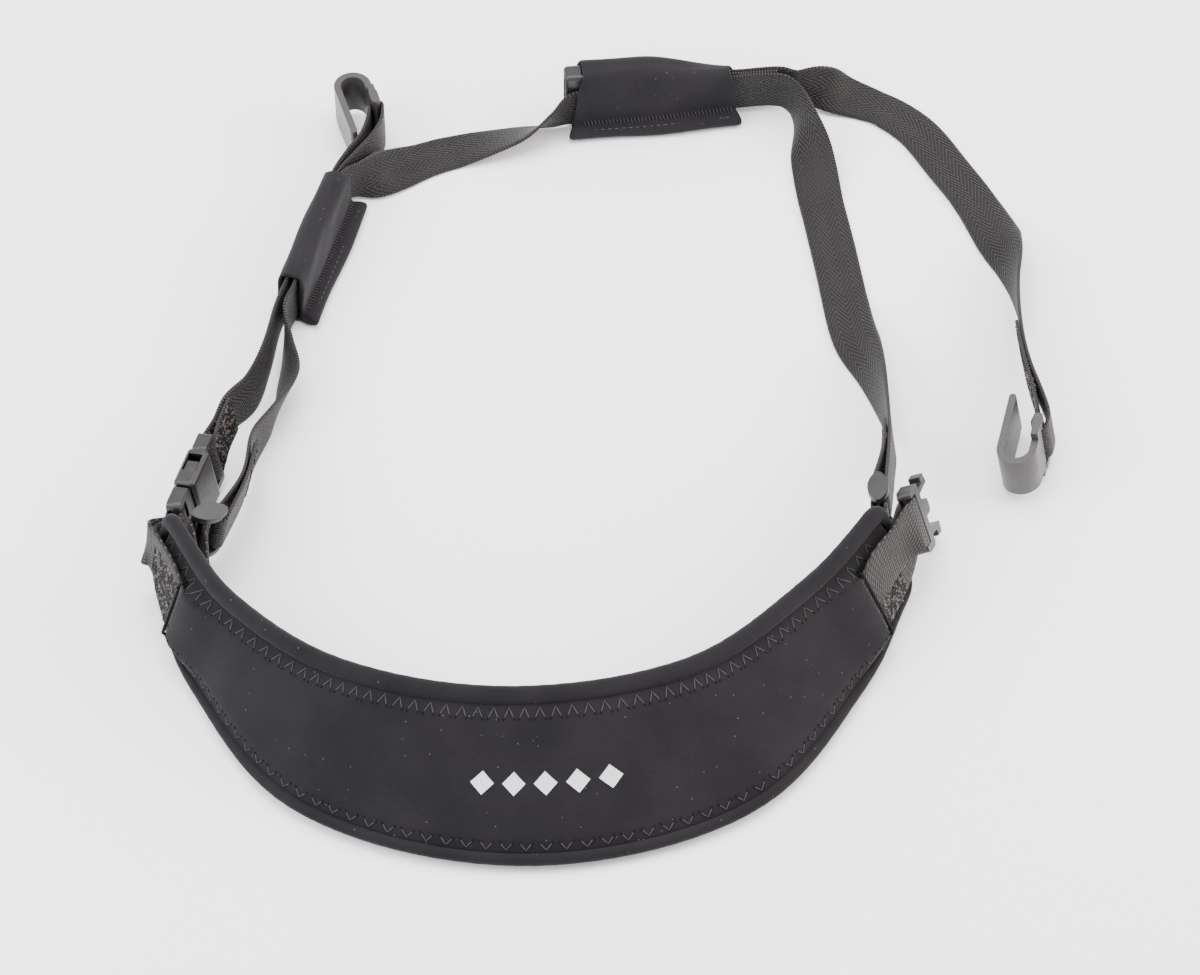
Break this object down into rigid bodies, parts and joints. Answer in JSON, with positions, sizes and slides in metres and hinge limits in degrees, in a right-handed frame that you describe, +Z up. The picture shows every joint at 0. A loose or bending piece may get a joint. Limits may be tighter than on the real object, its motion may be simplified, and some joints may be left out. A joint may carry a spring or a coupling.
{
  "type": "saxophone neck strap",
  "caption": "Padded neck strap for a saxophone with charcoal fabric pad, dark webbing, grey plastic side-release buckles, adjusters, sewn sleeves and plastic J-hooks",
  "frame": {"origin": "on the surface under the middle of the ring's outline", "axes": "+Z up from the surface, +Y from the padded band at the front towards the two sleeves at the back, +X to the right of someone who looks along +Y"},
  "size_m": [0.3699, 0.4242, 0.0473],
  "materials": {
    "pad_fabric": "matte knitted jersey over foam",
    "padding": "foam, not seen",
    "sleeve_fabric": "matte knitted jersey over neoprene",
    "webbing": "woven herringbone webbing, slight sheen",
    "plastic": "satin injection-moulded acetal"
  },
  "bodies": {
    "strap_body": {"pad_core": "padding", "pad_face": "pad_fabric", "pad_lining": "pad_fabric", "roll_upper": "pad_fabric", "roll_lower": "pad_fabric", "roll_left": "pad_fabric", "roll_right": "pad_fabric", "tab_outer_left": "webbing", "tab_outer_right": "webbing", "tab_inner_left": "webbing", "tab_inner_right": "webbing", "main_strap": "webbing", "hook_strap_left": "webbing", "hook_strap_right": "webbing", "adjuster_left": "plastic", "adjuster_right": "plastic", "buckle_male_left": "plastic", "buckle_female_left": "plastic", "buckle_female_right": "plastic"},
    "prong_left_upper": {"prong_left_upper": "plastic"},
    "prong_left_lower": {"prong_left_lower": "plastic"},
    "buckle_male_right": {"buckle_male_right": "plastic"},
    "prong_right_upper": {"prong_right_upper": "plastic"},
    "prong_right_lower": {"prong_right_lower": "plastic"},
    "hook_left": {"hook_left": "plastic"},
    "hook_right": {"hook_right": "plastic"},
    "sleeve_left": {"sleeve_left": "sleeve_fabric"},
    "sleeve_rear": {"sleeve_rear": "sleeve_fabric"}
  },
  "joints": [
    {"name": "prong_left_upper_bend", "type": "hinge", "parent": "strap_body", "child": "prong_left_upper", "pos_m": [-0.16948, -0.04604, 0.02554], "axis": [0.956, -0.267, 0.1219], "range_deg": [-5, 0], "stiffness_Nm_per_rad": 0.04},
    {"name": "prong_left_lower_bend", "type": "hinge", "parent": "strap_body", "child": "prong_left_lower", "pos_m": [-0.16746, -0.04661, 0.00846], "axis": [0.956, -0.267, 0.1219], "range_deg": [0, 5], "stiffness_Nm_per_rad": 0.04},
    {"name": "buckle_male_right_swing", "type": "hinge", "parent": "strap_body", "child": "buckle_male_right", "pos_m": [0.1223, -0.0631, 0.027], "axis": [-0.3318, 0.553, 0.7642], "range_deg": [-20, 20]},
    {"name": "prong_right_upper_bend", "type": "hinge", "parent": "buckle_male_right", "child": "prong_right_upper", "pos_m": [0.12233, -0.04991, 0.02872], "axis": [0.8997, -0.0581, 0.4327], "range_deg": [-7, 0], "stiffness_Nm_per_rad": 0.04},
    {"name": "prong_right_lower_bend", "type": "hinge", "parent": "buckle_male_right", "child": "prong_right_lower", "pos_m": [0.12803, -0.05942, 0.01557], "axis": [0.8997, -0.0581, 0.4327], "range_deg": [0, 7], "stiffness_Nm_per_rad": 0.04},
    {"name": "hook_left_swing", "type": "hinge", "parent": "strap_body", "child": "hook_left", "pos_m": [-0.10093, 0.17698, 0.014], "axis": [0, 0, 1], "range_deg": [-25, 2]},
    {"name": "hook_right_swing", "type": "hinge", "parent": "strap_body", "child": "hook_right", "pos_m": [0.17825, -0.00866, 0.01603], "axis": [-0.2, 0, 0.9798], "range_deg": [-15, 25]},
    {"name": "sleeve_left_slide", "type": "slide", "parent": "strap_body", "child": "sleeve_left", "axis": [0.2571, 0.9664, 0], "range_m": [-0.008, 0]},
    {"name": "sleeve_rear_slide", "type": "slide", "parent": "strap_body", "child": "sleeve_rear", "axis": [0.995, 0.1, 0], "range_m": [0, 0.015]}
  ],
  "couplings": [
    {"joint": "prong_left_lower_bend", "follows": "prong_left_upper_bend", "ratio": -1},
    {"joint": "prong_right_lower_bend", "follows": "prong_right_upper_bend", "ratio": -1}
  ]
}
